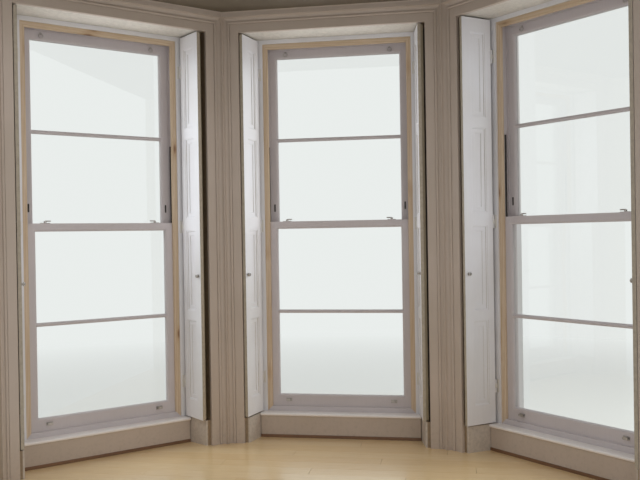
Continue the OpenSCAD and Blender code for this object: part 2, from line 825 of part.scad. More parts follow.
module sash_fittings() {
    color("#b9b2a6") for (side = FACETS) at_facet(side) for (end = SIDES)
        translate([end * fitting_across, 0, 0]) {
            translate([0, 0, meeting_h]) mirror([end > 0 ? 1 : 0, 0, 0]) fastener();
            translate([0, upper_in, sash_top_h - top_rail * 0.35]) ring_eye();
            translate([0, 0, cill_h + bottom_rail * 0.55]) lift();
        }
}

module balance_tubes() {
    color("#55524e") for (side = FACETS) at_facet(side) both_sides()
        translate([stile_face - tube_d / 2, sash_t / 2, meeting_h]) cylinder(d = tube_d, h = tube_rise);
}

plinth();
spandrel_walls();
corner_piers();
end_piers();
lintels();
cornice();
roof();
stone_cills();
floor();
ceiling();
aprons();
window_boards();
staff_beads();
glass_panes();
sash_fittings();
balance_tubes();
shutter_hinges();
frame(LEFT);  // left_frame
upper_sash(LEFT);  // left_upper_sash
lower_sash(LEFT);  // left_lower_sash
shutter_boxes(LEFT);  // left_shutter_boxes
architrave(LEFT);  // left_architrave
frame(CENTRE);  // centre_frame
upper_sash(CENTRE);  // centre_upper_sash
lower_sash(CENTRE);  // centre_lower_sash
shutter_boxes(CENTRE);  // centre_shutter_boxes
architrave(CENTRE);  // centre_architrave
frame(RIGHT);  // right_frame
upper_sash(RIGHT);  // right_upper_sash
lower_sash(RIGHT);  // right_lower_sash
shutter_boxes(RIGHT);  // right_shutter_boxes
architrave(RIGHT);  // right_architrave
leaf(LEFT, -1);  // left_window_left_leaf
flap(LEFT, -1);  // left_window_left_flap
leaf(LEFT, 1);  // left_window_right_leaf
flap(LEFT, 1);  // left_window_right_flap
leaf(CENTRE, -1);  // centre_window_left_leaf
flap(CENTRE, -1);  // centre_window_left_flap
leaf(CENTRE, 1);  // centre_window_right_leaf
flap(CENTRE, 1);  // centre_window_right_flap
leaf(RIGHT, -1);  // right_window_left_leaf
flap(RIGHT, -1);  // right_window_left_flap
leaf(RIGHT, 1);  // right_window_right_leaf
flap(RIGHT, 1);  // right_window_right_flap
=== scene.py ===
"""Looks of the canted bay window: paint, pine, boards, render, lead, glass, lamps and camera.

Facet coordinates are (across, out, height) in metres: across runs to the right seen from the
room, out runs away from the room from the lower sashes' room face, height is above the floor.
"""

import math
import random

import bmesh
import bpy
from mathutils import Matrix, Vector

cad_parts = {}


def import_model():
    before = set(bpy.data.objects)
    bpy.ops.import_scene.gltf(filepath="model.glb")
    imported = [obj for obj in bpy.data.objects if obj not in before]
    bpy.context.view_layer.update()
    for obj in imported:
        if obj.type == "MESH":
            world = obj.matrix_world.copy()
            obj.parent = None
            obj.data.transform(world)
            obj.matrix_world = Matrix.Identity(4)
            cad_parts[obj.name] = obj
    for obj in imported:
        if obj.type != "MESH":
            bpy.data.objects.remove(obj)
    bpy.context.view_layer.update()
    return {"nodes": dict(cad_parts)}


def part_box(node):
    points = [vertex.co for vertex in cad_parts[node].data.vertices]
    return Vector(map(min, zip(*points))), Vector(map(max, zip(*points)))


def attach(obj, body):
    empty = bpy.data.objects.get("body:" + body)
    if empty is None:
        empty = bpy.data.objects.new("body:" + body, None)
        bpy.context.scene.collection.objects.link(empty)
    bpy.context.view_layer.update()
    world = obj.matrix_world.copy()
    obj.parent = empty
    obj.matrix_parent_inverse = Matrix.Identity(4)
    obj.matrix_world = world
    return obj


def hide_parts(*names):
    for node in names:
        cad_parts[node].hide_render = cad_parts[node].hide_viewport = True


# Driving sizes of the part, in metres
SASH_W = 1.060
WALL_SIDE = 0.387
WALL_IN = 0.272
WALL_OUT = 0.190
RETURN_LEN = 0.250
CORNICE_PROJ = 0.170
CORNICE_H = 0.190
PLINTH_PROJ = 0.035
PLINTH_SLOPE = 0.060
EAVES_T = 0.045
ROOF_PITCH = math.radians(11)
FLOOR_H = 0.900
FLOOR_T = 0.150
BED = 0.0003
FRAME_T = 0.116
REVEAL_OFF = 0.015
STILE_W = 0.064
BOTTOM_RAIL = 0.090
MEETING_RAIL = 0.054
TOP_RAIL = 0.069
BAR_T = 0.024
PANE_MOULD = 0.011
MEETING_H = 1.606
SASH_TOP_H = 2.912
CILL_H = 0.213
UPPER_OUT = 0.053
LAP = 0.010
BEAD_W = 0.036
BEAD_T = 0.022
BEAD_ROUND = 0.008
BOARD_T = 0.022
NOSING = 0.014
HANGING_T = 0.034
BOARD_H = 0.182
STONE_BED_H = 0.030
LINTEL_H = 2.930
SOFFIT_H = 2.971
CEILING_H = 3.115
WALL_TOP_H = 3.420
APRON_IN = 0.095
APRON_T = 0.015
HINGE_OFF = 0.052
HINGE_IN = 0.049
SPLAY = math.radians(13.3)
BOX_OUTER_T = 0.062
LEAF_REVEAL = 0.0028
ARCH_T = 0.025
ARCH_W = 0.132
ARCH_BACK_T = 0.060
CILL_FALL = 0.022
LEAF_START = 0.006
LEAF_FOOT = BOARD_H + 0.008
LEAF_TOP = SOFFIT_H - 0.011
HINGE_STILE = 0.054
ROOM_STILE = 0.072
LEAF_RAILS = (0.130, 0.070, 0.090, 0.070, 0.095)
PANEL_SINK = 0.007
KNOB_H = 1.220
KNOB_EDGE = 0.032
KNOB_D = 0.026
KNOB_PROJ = 0.024

# Facets of the bay, with the turn of each in steps of 45 degrees
FACETS = {"left": 1, "centre": 0, "right": -1}
# Corners of the bay from the left, each as the turn of the wall on its left
CORNERS = (2, 1, 0, -1)
PACK_SIDES = {"left": -1, "right": 1}
AJAR = {
    ("left", "right"): math.radians(10.5),
    ("centre", "right"): math.radians(5),
    ("right", "left"): math.radians(6),
}
BEND = math.pi / 4
SLANT = math.tan(BEND / 2)
APOTHEM = (SASH_W + 2 * WALL_SIDE) / 2 / SLANT
BACK_Y = (APOTHEM - WALL_IN) * SLANT - RETURN_LEN
CENTRE_Y = (BACK_Y + APOTHEM + WALL_OUT + CORNICE_PROJ) / 2
BACK_EDGE = BACK_Y - CENTRE_Y
HALF_GLASS = SASH_W / 2 - STILE_W
BEAD_ACROSS = SASH_W / 2 - LAP
HINGE_ACROSS = SASH_W / 2 + HINGE_OFF
LEAF_W = (WALL_IN + ARCH_T - LEAF_REVEAL - HINGE_IN) / math.cos(SPLAY)
REVEAL_HALF = SASH_W / 2 + REVEAL_OFF

# Camera, fitted to the photograph's frame of 640 by 480 pixels
PHOTO_W = 640
FOCAL_PX = 802.71
CAMERA_PLACE = Vector((0.8627, -5.2777, 2.3935))
CAMERA_YAW = 0.1679
CAMERA_PITCH = -0.0051
CAMERA_ROLL = -0.0158

# Strength of the world: as it is seen, and as it lights from the room side and from outside
SEEN_WORLD = 0.90
ROOM_WORLD = 0.50
SKY_WORLD = 0.74


def facet_matrix(turn):
    """From facet coordinates to the frame, for a facet turned by that many steps of 45 degrees."""
    return (
        Matrix.Translation((0, -CENTRE_Y, 0))
        @ Matrix.Rotation(BEND * turn, 4, "Z")
        @ Matrix.Translation((0, APOTHEM, FLOOR_H))
    )


def corner_across(out):
    """Across of the corner of the bay at that distance out."""
    return (APOTHEM + out) * SLANT


def face_across(inwards):
    """Across of the splayed shutter face at that distance into the room."""
    return HINGE_ACROSS + (inwards - HINGE_IN) * math.tan(SPLAY)


def arc(centre, radius, start, end, steps):
    """Points of an arc about centre, from start to end in degrees."""
    turns = [math.radians(start + (end - start) * i / steps) for i in range(steps + 1)]
    return [(centre[0] + radius * math.cos(t), centre[1] + radius * math.sin(t)) for t in turns]


def rectangle(left, right, low, high):
    """Corners of a rectangle, going round it."""
    return [(left, low), (right, low), (right, high), (left, high)]


# Node trees


class Nodes:
    """A node tree built by short calls."""

    def __init__(self, tree, output):
        self.tree = tree
        self.output = tree.nodes[output]

    def node(self, kind, inputs=None, **settings):
        made = self.tree.nodes.new(kind)
        for name, value in settings.items():
            setattr(made, name, value)
        for key, value in (inputs or {}).items():
            self.put(made.inputs[key], value)
        return made

    def put(self, socket, value):
        if isinstance(value, bpy.types.NodeSocket):
            self.tree.links.new(value, socket)
        elif socket.type == "RGBA":
            socket.default_value = (*value, 1)
        else:
            socket.default_value = value

    def math(self, operation, *values):
        return self.node("ShaderNodeMath", dict(enumerate(values)), operation=operation).outputs[0]

    def vector(self, operation, *values):
        made = self.node("ShaderNodeVectorMath", dict(enumerate(values)), operation=operation)
        return made.outputs["Value" if operation in ("DOT_PRODUCT", "LENGTH") else "Vector"]

    def parts(self, vector):
        return self.node("ShaderNodeSeparateXYZ", {0: vector}).outputs

    def range(self, value, low, high, to_low=0.0, to_high=1.0, **settings):
        inputs = {"Value": value, "From Min": low, "From Max": high, "To Min": to_low, "To Max": to_high}
        return self.node("ShaderNodeMapRange", inputs, **settings).outputs[0]

    def seen(self):
        """1 where something is seen: straight, in a mirror or through glass."""
        path = self.node("ShaderNodeLightPath").outputs
        mirrored = self.math("MAXIMUM", path["Is Glossy Ray"], path["Is Transmission Ray"])
        return self.math("MAXIMUM", path["Is Camera Ray"], mirrored)

    def mix(self, factor, a, b):
        """Leads a mix of two shaders to the output."""
        mixed = self.node("ShaderNodeMixShader", {0: factor, 1: a.outputs[0], 2: b.outputs[0]})
        self.tree.links.new(mixed.outputs[0], self.output.inputs["Surface"])


class Finish(Nodes):
    """A material with one Principled shader."""

    def __init__(self, name):
        self.material = bpy.data.materials.new(name)
        self.material.use_nodes = True
        super().__init__(self.material.node_tree, "Material Output")
        self.shader = self.tree.nodes["Principled BSDF"]
        coordinates = self.node("ShaderNodeTexCoord").outputs
        self.place = coordinates["Object"]
        self.normal = coordinates["Normal"]
        self.x, self.y, self.z = self.parts(self.place)

    def surface(self, colour, bump, roughness, **others):
        """The material, with its roughness given as a range, and other inputs by name in small letters."""
        inputs = {"base_color": colour, "normal": bump, "roughness": self.range(*roughness), **others}
        for name, value in inputs.items():
            self.put(self.shader.inputs[name.replace("_", " ").title().replace("Ior", "IOR")], value)
        return self.material

    def noise(self, scale, detail=3.0, roughness=0.5, distortion=0.0, stretch=None, place=None):
        vector = place or self.place
        if stretch:
            vector = self.vector("MULTIPLY", vector, stretch)
        inputs = {"Vector": vector, "Scale": scale, "Detail": detail, "Roughness": roughness,
                  "Distortion": distortion}
        return self.node("ShaderNodeTexNoise", inputs).outputs["Fac"]

    def rings(self, place, stretch, direction, distortion, detail_scale):
        """Bands like the year rings of timber."""
        inputs = {"Vector": self.vector("MULTIPLY", place, stretch), "Scale": 1.0, "Distortion": distortion,
                  "Detail": 3.0, "Detail Scale": detail_scale}
        return self.node("ShaderNodeTexWave", inputs, bands_direction=direction).outputs["Fac"]

    def blend(self, factor, a, b):
        return self.node("ShaderNodeMix", {0: factor, 6: a, 7: b}, data_type="RGBA").outputs[2]

    def over(self, under, colour, value, low, high, most=1.0):
        """Lays a colour over another: none of it where the value is low, and the most where it is high."""
        return self.blend(self.range(value, low, high, 0, most), under, colour)

    def bump(self, height, strength, distance, under=None):
        inputs = {"Height": height, "Strength": strength, "Distance": distance}
        if under is not None:
            inputs["Normal"] = under
        return self.node("ShaderNodeBump", inputs).outputs[0]

    def tone(self):
        """The number that a piece's mesh keeps for each of its solids."""
        return self.node("ShaderNodeAttribute", attribute_name="tone").outputs["Fac"]

    def place_by_tone(self, shift):
        """The place, moved by a share of the tone, so that no two solids look alike."""
        return self.vector("MULTIPLY_ADD", self.tone(), shift, self.place)


def srgb(red, green, blue):
    """Linear colour of sRGB values from 0 to 255."""
    def linear(value):
        share = value / 255
        return share / 12.92 if share <= 0.04045 else ((share + 0.055) / 1.055) ** 2.4
    return linear(red), linear(green), linear(blue)


def shade(colour, factor):
    return tuple(min(1.0, part * factor) for part in colour)


# Masks, each from 0 to 1

# How squarely a surface has to face a direction
FACING = (0.85, 0.97)
# The bare inside of a shutter box, darkened as painted shade, begins this far behind the leaves' faces and
# inwards from the hinges
BEHIND_LEAVES = (0.008, 0.014)
FROM_HINGES = (0.030, 0.045)
# The cut faces against the house wall take their own look this far in
CUT_SKIN = 0.002


def facing_mask(finish, direction):
    """1 on the surfaces that face a direction of the object's own axes."""
    return finish.range(finish.vector("DOT_PRODUCT", finish.normal, direction), *FACING)


def below_mask(finish, height):
    """1 below a height above the ground."""
    return finish.math("LESS_THAN", finish.z, height)


def cut_mask(finish):
    """1 on the cut faces against the house wall."""
    return finish.math("LESS_THAN", finish.y, BACK_EDGE + CUT_SKIN)


def shaded_box_mask(finish, turn):
    """1 inside the shutter boxes of a facet, behind the line of the leaves' faces, where bare timber darkened
    as painted shade is laid.
    """
    angle = BEND * turn
    place = finish.vector("ADD", finish.place, (0, CENTRE_Y, 0))
    across = finish.vector("DOT_PRODUCT", place, (math.cos(angle), math.sin(angle), 0))
    out = finish.vector("DOT_PRODUCT", place, (-math.sin(angle), math.cos(angle), 0))
    inwards = finish.math("SUBTRACT", APOTHEM - HINGE_IN, out)
    face = finish.math("ADD", finish.math("MULTIPLY", inwards, math.tan(SPLAY)), HINGE_ACROSS)
    behind = finish.math("SUBTRACT", finish.math("ABSOLUTE", across), face)
    return finish.math("MULTIPLY", finish.range(behind, *BEHIND_LEAVES), finish.range(inwards, *FROM_HINGES))


# Finishes


def brushed_paint(name, colour, roughness, age, dirt=0.5, patches=()):
    """Paint on timber: slow changes of tone, fine strokes along the grain and dirt near the floor.

    Each patch is a mask function, its setting, and the colour laid there: old paint and bare timber, some of
    it darkened as painted shade."""
    finish = Finish(name)
    slow = finish.noise(1.7, detail=4)
    strokes = finish.noise(3.0, detail=4, roughness=0.6, stretch=(60, 60, 2.2))
    fine = finish.noise(42, detail=4, roughness=0.65)
    low = finish.range(finish.z, FLOOR_H, FLOOR_H + 0.3, 1, 0)
    aged = finish.over(shade(colour, 1.02), age, slow, 0.35, 0.7)
    streaked = finish.over(aged, shade(age, 0.96), strokes, 0.3, 0.75, 0.25)
    smudges = finish.math("MULTIPLY", finish.range(fine, 0.5, 0.75), low)
    soiled = finish.blend(finish.math("MULTIPLY", smudges, dirt), streaked, shade(age, 0.72))
    # Patches lay other colours, among them painted shade.
    for mask, setting, other in patches:
        mottled = finish.over(other, shade(other, 0.8), fine, 0.4, 0.7)
        soiled = finish.blend(mask(finish, setting), soiled, mottled)
    bump = finish.bump(strokes, 0.08, 0.0004, finish.bump(fine, 0.03, 0.0004))
    return finish.surface(soiled, bump, (strokes, 0.2, 0.8, roughness - 0.05, roughness + 0.07))


def white_paint(name, *patches):
    return brushed_paint(name, srgb(230, 229, 233), 0.34, srgb(221, 218, 218), dirt=0.3, patches=patches)


def primed_timber(name, colour, roughness=0.5):
    """Off-white primer with the grain showing a little through it."""
    finish = Finish(name)
    grain = finish.noise(2.0, detail=5, roughness=0.62, distortion=0.4, stretch=(95, 95, 3.0))
    base = finish.over(colour, shade(colour, 0.95), finish.noise(2.3), 0.35, 0.7)
    lined = finish.over(base, shade(colour, 0.88), grain, 0.42, 0.72, 0.4)
    bump = finish.bump(grain, 0.3, 0.0007)
    return finish.surface(lined, bump, (grain, 0.2, 0.8, roughness, roughness + 0.18))


def bare_pine(name):
    """Knotty pine, with its grain along the X of each length."""
    finish = Finish(name)
    place = finish.place_by_tone((31, 1, 0))
    warped = finish.noise(1.4, detail=2, stretch=(1.6, 9, 9), place=place)
    rings = finish.rings(place, (0.9, 30, 30), "DIAGONAL", 5.5, 0.8)
    fibre = finish.noise(1.2, detail=5, roughness=0.6, stretch=(9, 260, 260), place=place)
    cells = {"Vector": finish.vector("MULTIPLY", place, (3.2, 11, 3)), "Scale": 1.0, "Randomness": 1.0}
    knots = finish.node("ShaderNodeTexVoronoi", cells).outputs["Distance"]
    pale = finish.over(srgb(217, 197, 172), srgb(203, 180, 152), warped, 0.3, 0.7)
    lined = finish.over(pale, srgb(193, 165, 134), rings, 0.35, 0.95, 0.55)
    fibred = finish.over(lined, srgb(178, 153, 126), fibre, 0.4, 0.75, 0.45)
    ringed = finish.over(fibred, srgb(176, 143, 108), knots, 0.30, 0.08, 0.75)
    knotted = finish.over(ringed, srgb(138, 106, 78), knots, 0.13, 0.05)
    return finish.surface(knotted, finish.bump(fibre, 0.35, 0.0006), (fibre, 0.2, 0.8, 0.5, 0.7))


def floor_boards_finish(name):
    """Golden boards under a glossy lacquer, with the grain along X and a tone of its own on each board."""
    finish = Finish(name)
    place = finish.place_by_tone((17, 3, 0))
    rings = finish.rings(place, (0.7, 16, 4), "Y", 6.0, 0.7)
    fibre = finish.noise(1.3, detail=5, roughness=0.62, stretch=(5, 150, 60), place=place)
    worn = finish.noise(6, detail=4)
    gold = finish.blend(finish.tone(), srgb(243, 217, 170), srgb(234, 203, 152))
    lined = finish.over(gold, srgb(217, 180, 126), rings, 0.4, 1.0, 0.5)
    fibred = finish.over(lined, srgb(203, 164, 112), fibre, 0.42, 0.75, 0.5)
    return finish.surface(fibred, finish.bump(fibre, 0.12, 0.0004), (worn, 0.35, 0.7, 0.32, 0.42),
                          coat_weight=1.0, coat_roughness=0.2, coat_ior=1.6)


def plaster(name):
    """Matt emulsion on plaster, with roller stipple and slow unevenness, in a dark olive that is painted
    shade.
    """
    finish = Finish(name)
    slow = finish.noise(1.3)
    stipple = finish.noise(210, roughness=0.6)
    # The dark olive is painted shade: the plaster is darkened as if the ceiling were unlit.
    colour = finish.over(srgb(103, 91, 75), srgb(93, 82, 66), slow, 0.3, 0.7)
    bump = finish.bump(stipple, 0.2, 0.0008, finish.bump(slow, 0.2, 0.004))
    return finish.surface(colour, bump, (slow, 0.3, 0.7, 0.7, 0.82))


def weathered(finish, base, pale, dark):
    """Base colour with clouding, rain streaks and splashes near the ground."""
    cloud = finish.noise(2.2, detail=5, roughness=0.6)
    streaks = finish.noise(1.0, detail=4, roughness=0.6, stretch=(9, 9, 0.7))
    splash = finish.math("MULTIPLY", finish.range(finish.z, 0.02, 0.5, 1, 0), finish.range(cloud, 0.3, 0.6))
    clouded = finish.over(base, pale, cloud, 0.3, 0.7)
    streaked = finish.over(clouded, dark, streaks, 0.5, 0.8, 0.3)
    return finish.blend(finish.math("MULTIPLY", splash, 0.5), streaked, shade(dark, 0.75))


def lime_render(name, joints=False):
    """Lined-out lime render outside, on blocks or in the joints between them.

    Slopes and cut faces have no joints. Inside the line of the walls it is painted plaster."""
    slope, plaster_t = 0.3, 0.02
    finish = Finish(name)
    sand = finish.noise(230, roughness=0.7)
    colour = weathered(finish, srgb(196, 185, 163), srgb(207, 198, 178), srgb(160, 149, 128))
    toned = finish.blend(finish.math("MULTIPLY", finish.tone(), 0.5), colour, srgb(172, 158, 134))
    grained = finish.over(toned, srgb(150, 138, 116), sand, 0.45, 0.8, 0.3)
    if joints:
        sloping = finish.math("GREATER_THAN", finish.parts(finish.normal)["Z"], slope)
        plain = finish.math("MAXIMUM", cut_mask(finish), sloping)
        grained = finish.over(grained, srgb(112, 102, 84), plain, 1, 0, 0.75)
    side = finish.math("ABSOLUTE", finish.x)
    ahead = finish.math("ADD", finish.y, CENTRE_Y)
    slanted = finish.math("MULTIPLY", finish.math("ADD", side, ahead), math.cos(BEND))
    reach = finish.math("MAXIMUM", finish.math("MAXIMUM", side, ahead), slanted)
    inside = finish.math("LESS_THAN", reach, APOTHEM - WALL_IN + plaster_t)
    lined = finish.blend(inside, grained, srgb(200, 191, 171))
    return finish.surface(lined, finish.bump(sand, 0.4, 0.0012), (sand, 0.3, 0.8, 0.78, 0.92))


def sandstone(name):
    """Fine sawn sandstone with faint bedding, a little darker where the rain lies."""
    finish = Finish(name)
    bedding = finish.noise(1.0, detail=4, roughness=0.6, distortion=0.3, stretch=(2.2, 2.2, 42))
    grit = finish.noise(260, roughness=0.7)
    colour = weathered(finish, srgb(201, 184, 150), srgb(212, 198, 168), srgb(158, 142, 112))
    bedded = finish.over(colour, srgb(176, 152, 112), bedding, 0.45, 0.75, 0.4)
    upward = finish.parts(finish.node("ShaderNodeNewGeometry").outputs["Normal"])["Z"]
    moss = finish.math("MULTIPLY", finish.range(upward, 0.3, 0.9), finish.range(grit, 0.35, 0.6))
    mossy = finish.over(bedded, srgb(128, 122, 98), moss, 0, 1, 0.45)
    return finish.surface(mossy, finish.bump(grit, 0.35, 0.001), (grit, 0.3, 0.8, 0.75, 0.9))


def lead_sheet(name):
    """Weathered lead: blue-grey with a pale bloom, and boarding where it is cut."""
    finish = Finish(name)
    cloud = finish.noise(3.5, detail=6, roughness=0.65)
    spots = finish.noise(26, detail=4, roughness=0.6)
    dents = finish.noise(7, detail=2)
    grain = finish.noise(1.0, detail=4, roughness=0.6, stretch=(3, 40, 60))
    base = finish.over(srgb(138, 142, 146), srgb(166, 168, 168), cloud, 0.35, 0.65)
    bloomed = finish.over(base, srgb(190, 191, 188), spots, 0.5, 0.72, 0.6)
    boarding = finish.over(srgb(168, 146, 114), srgb(134, 112, 84), grain, 0.35, 0.7)
    colour = finish.blend(cut_mask(finish), bloomed, boarding)
    bump = finish.bump(dents, 0.35, 0.006, finish.bump(spots, 0.15, 0.0008))
    return finish.surface(colour, bump, (cloud, 0.3, 0.7, 0.5, 0.68), metallic=0.15)


def metal(name, colour, worn, roughness, metallic):
    """Handled metal: fine scratches and dull patches."""
    finish = Finish(name)
    patches = finish.noise(55, detail=4, roughness=0.6)
    scratches = finish.noise(1.0, stretch=(700, 700, 60))
    handled = finish.over(colour, worn, patches, 0.4, 0.65)
    return finish.surface(handled, finish.bump(scratches, 0.12, 0.0002),
                          (patches, 0.3, 0.7, roughness - 0.08, roughness + 0.14), metallic=metallic)


def window_glass(name):
    """Thin float glass: clear, with a mirror that grows towards grazing sight."""
    finish = Finish(name)
    finish.tree.nodes.remove(finish.shader)
    facing = finish.node("ShaderNodeLayerWeight", {"Blend": 0.5}).outputs["Facing"]
    grazing = finish.math("POWER", facing, 5.0)
    waves = finish.bump(finish.noise(1.6, detail=1), 0.06, 0.01)
    clear = finish.node("ShaderNodeBsdfTransparent", {"Color": (0.952, 0.972, 0.962)})
    mirror = finish.node("ShaderNodeBsdfGlossy", {"Color": (1, 1, 1), "Roughness": 0.0, "Normal": waves})
    finish.mix(finish.range(grazing, 0, 1, 0.04, 1), clear, mirror)
    return finish.material


# Meshes


class Shape:
    """A mesh in the making, where each solid added gets its own tone."""

    def __init__(self, seed):
        self.bm = bmesh.new()
        self.layer = self.bm.faces.layers.float.new("tone")
        self.random = random.Random(seed)

    def loft(self, rings, closed=False, tone=None):
        """Joins rings of points, and caps the ends unless the last ring joins the first."""
        made = [[self.bm.verts.new(point) for point in ring] for ring in rings]
        count = len(made[0])
        pairs = list(zip(made, made[1:])) + ([(made[-1], made[0])] if closed else [])
        faces = [self.bm.faces.new((a[i], a[(i + 1) % count], b[(i + 1) % count], b[i]))
                 for a, b in pairs for i in range(count)]
        if not closed:
            faces.append(self.bm.faces.new(made[0][::-1]))
            faces.append(self.bm.faces.new(made[-1]))
        value = self.random.random() if tone is None else tone
        for face in faces:
            face[self.layer] = value

    def prism(self, outline, low, high, tone=None):
        """Upright prism over an outline of (x, y) points."""
        self.loft([[(x, y, z) for x, y in outline] for z in (low, high)], tone=tone)

    def piece(self, name, material, body, matrix=None, smooth_below=35):
        """Makes the Blender object, gives it its finish and lets it ride on its body."""
        bmesh.ops.recalc_face_normals(self.bm, faces=self.bm.faces)
        mesh = bpy.data.meshes.new(name)
        self.bm.to_mesh(mesh)
        self.bm.free()
        if "custom_normal" in mesh.attributes:
            mesh.attributes.remove(mesh.attributes["custom_normal"])
        if smooth_below:
            mesh.shade_smooth()
            mesh.set_sharp_from_angle(angle=math.radians(smooth_below))
        mesh.materials.append(material)
        made = bpy.data.objects.new(name, mesh)
        bpy.context.scene.collection.objects.link(made)
        made.matrix_world = matrix or Matrix.Identity(4)
        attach(made, body)
        return made


def alike_pieces(name, finish, seed, solids):
    """One piece to each window, from the rings of its solids in facet coordinates."""
    for window, turn in FACETS.items():
        shape = Shape(seed)
        for rings in solids:
            shape.loft(rings)
        shape.piece(f"{window}_{name}", finish, "bay", facet_matrix(turn))


# Floor

PLANK_W = 0.135
PLANK_GAP = 0.0016
PLANK_LEN = 1.65
PLANK_T = 0.022
PLANK_BED = 0.001
# Share of a plank's length by which the joints move on from row to row
PLANK_SHIFT = 0.37


def clipped(outline, edges):
    """The part of a convex outline on the inner side of every edge, each given as a point and a normal."""
    points = [Vector(p) for p in outline]
    for point, normal in edges:
        kept = []
        for a, b in zip(points, points[1:] + points[:1]):
            side_a = (a - point).dot(normal)
            side_b = (b - point).dot(normal)
            if side_a >= 0:
                kept.append(a)
            if (side_a > 0 > side_b) or (side_a < 0 < side_b):
                kept.append(a.lerp(b, side_a / (side_a - side_b)))
        points = kept
        if len(points) < 3:
            return []
    return points


def inner_normal(turn):
    """Plan direction from a facet into the bay."""
    angle = BEND * turn
    return Vector((math.sin(angle), -math.cos(angle)))


def plan_point(turn, across, out):
    return (facet_matrix(turn) @ Vector((across, out, 0))).xy


def box_outer(inwards):
    """Across of the outer side of the shutter boxes, clear of the piers."""
    return face_across(inwards) + BOX_OUTER_T / math.cos(SPLAY) - BED


def floor_areas():
    """Edges of the convex parts of the floor: the bay between its walls, and the recess of each window."""
    walls = [(plan_point(turn, 0, -WALL_IN - BED), inner_normal(turn)) for turn in range(-2, 3)]
    areas = [walls + [(Vector((0, BACK_EDGE)), Vector((0, 1)))]]
    foot = APRON_IN - APRON_T + BED
    for turn in FACETS.values():
        sides = [(plan_point(turn, 0, -foot), inner_normal(turn)),
                 (plan_point(turn, 0, -WALL_IN - BED), -inner_normal(turn))]
        for end in (-1, 1):
            near = plan_point(turn, end * box_outer(foot), -foot)
            far = plan_point(turn, end * box_outer(WALL_IN), -WALL_IN)
            run = (far - near).normalized()
            sides.append((near, Vector((-run.y, run.x)) * -end))
        areas.append(sides)
    return areas


def lay_floor(boards_finish, base_finish):
    """Boards in rows along the house wall, over a base of the same outline."""
    low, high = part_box("floor")
    areas = floor_areas()
    boards = Shape(11)
    for row in range(math.ceil((high.y - low.y) / PLANK_W)):
        y0 = low.y + row * PLANK_W
        shift = (row * PLANK_SHIFT % 1) * PLANK_LEN
        for column in range(math.ceil(-2 * low.x / PLANK_LEN) + 2):
            x0 = low.x - shift + column * PLANK_LEN
            plank = rectangle(x0, x0 + PLANK_LEN - PLANK_GAP, y0, y0 + PLANK_W - PLANK_GAP)
            tone = boards.random.random()
            for edges in areas:
                outline = clipped(plank, edges)
                if outline:
                    boards.prism(outline, high.z - PLANK_T, high.z, tone)
    laid = boards.piece("floor_boards", boards_finish, "bay", smooth_below=0)
    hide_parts("floor")
    base = Shape(12)
    slab = rectangle(low.x, high.x, low.y, high.y)
    for edges in areas:
        base.prism(clipped(slab, edges), low.z, high.z - PLANK_T - PLANK_BED)
    under = base.piece("floor_base", base_finish, "bay", smooth_below=0)
    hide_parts("floor")


# Timber trim

SASHES = {
    "lower": (0, CILL_H, MEETING_H, BOTTOM_RAIL, MEETING_RAIL),
    "upper": (UPPER_OUT, MEETING_H - MEETING_RAIL, SASH_TOP_H, MEETING_RAIL, TOP_RAIL),
}


def ring_corners(half_w, foot, top):
    """Corners of an opening with the outward direction at each, going round it."""
    return [(half_w, foot, 1, -1), (half_w, top, 1, 1), (-half_w, top, -1, 1), (-half_w, foot, -1, -1)]


def ring_at(corner, profile):
    """Profile points of (away from the opening, out) set at a corner of the opening."""
    across, height, way_x, way_z = corner
    return [Vector((across + way_x * away, out, height + way_z * away)) for away, out in profile]


def side_ring(profile, end, across_at):
    """Profile points of (inwards, height) set on one side of a facet, at the across of each inwards."""
    return [Vector((end * across_at(inwards), -inwards, height)) for inwards, height in profile]


def leaf_side(inwards):
    """Across of trim that ends just short of the splayed shutter face."""
    return face_across(inwards) - BED


def outer_reveals(paint, mastic):
    """A thin painted skin on the outer reveals, and a mastic fillet between it and the box frame."""
    skin, sunk, fillet, overlap = 0.0025, 0.001, 0.009, 0.0002
    half_w, foot, top = REVEAL_HALF - skin, CILL_H - CILL_FALL + sunk, LINTEL_H - skin
    corners = [(half_w, foot, 1, 0), (half_w, top, 1, 1), (-half_w, top, -1, 1), (-half_w, foot, -1, 0)]
    near, far = FRAME_T + BED, WALL_OUT - sunk
    lining = [(0, near), (0, far), (skin + sunk, far), (skin + sunk, near)]
    hollow = arc((-fillet, near + fillet), fillet, 0, -90, 5)[1:-1]
    bead = [(0, near), (overlap, near + fillet), *hollow, (-fillet, near)]
    for window, turn in FACETS.items():
        for name, finish, seed, profile, smooth_below in (
                ("reveal_paint", paint, 70, lining, 0), ("mastic", mastic, 80, bead, 35)):
            shape = Shape(seed + turn)
            shape.loft([[facet_matrix(turn) @ p for p in ring_at(corner, profile)] for corner in corners])
            shape.piece(f"{window}_{name}", finish, "bay", smooth_below=smooth_below)


def ceiling_fillets(finish):
    """A small cavetto between the architrave heads and the ceiling, mitred at the bay's corners."""
    hollow, set_back = 0.010, 0.004
    foot, top = SOFFIT_H + ARCH_W + BED, CEILING_H - BED
    back, face = WALL_IN + BED, WALL_IN + ARCH_BACK_T - set_back
    profile = [(back, foot), (face, foot), (face, top - hollow)]
    profile += arc((face + hollow, top - hollow), hollow, 180, 90, 5)[1:] + [(back, top)]
    rings = [side_ring(profile, end, lambda inwards: corner_across(-inwards)) for end in (-1, 1)]
    shape = Shape(75)
    for turn in FACETS.values():
        shape.loft([[facet_matrix(turn) @ p for p in ring] for ring in rings])
    shape.piece("ceiling_fillets", finish, "bay")


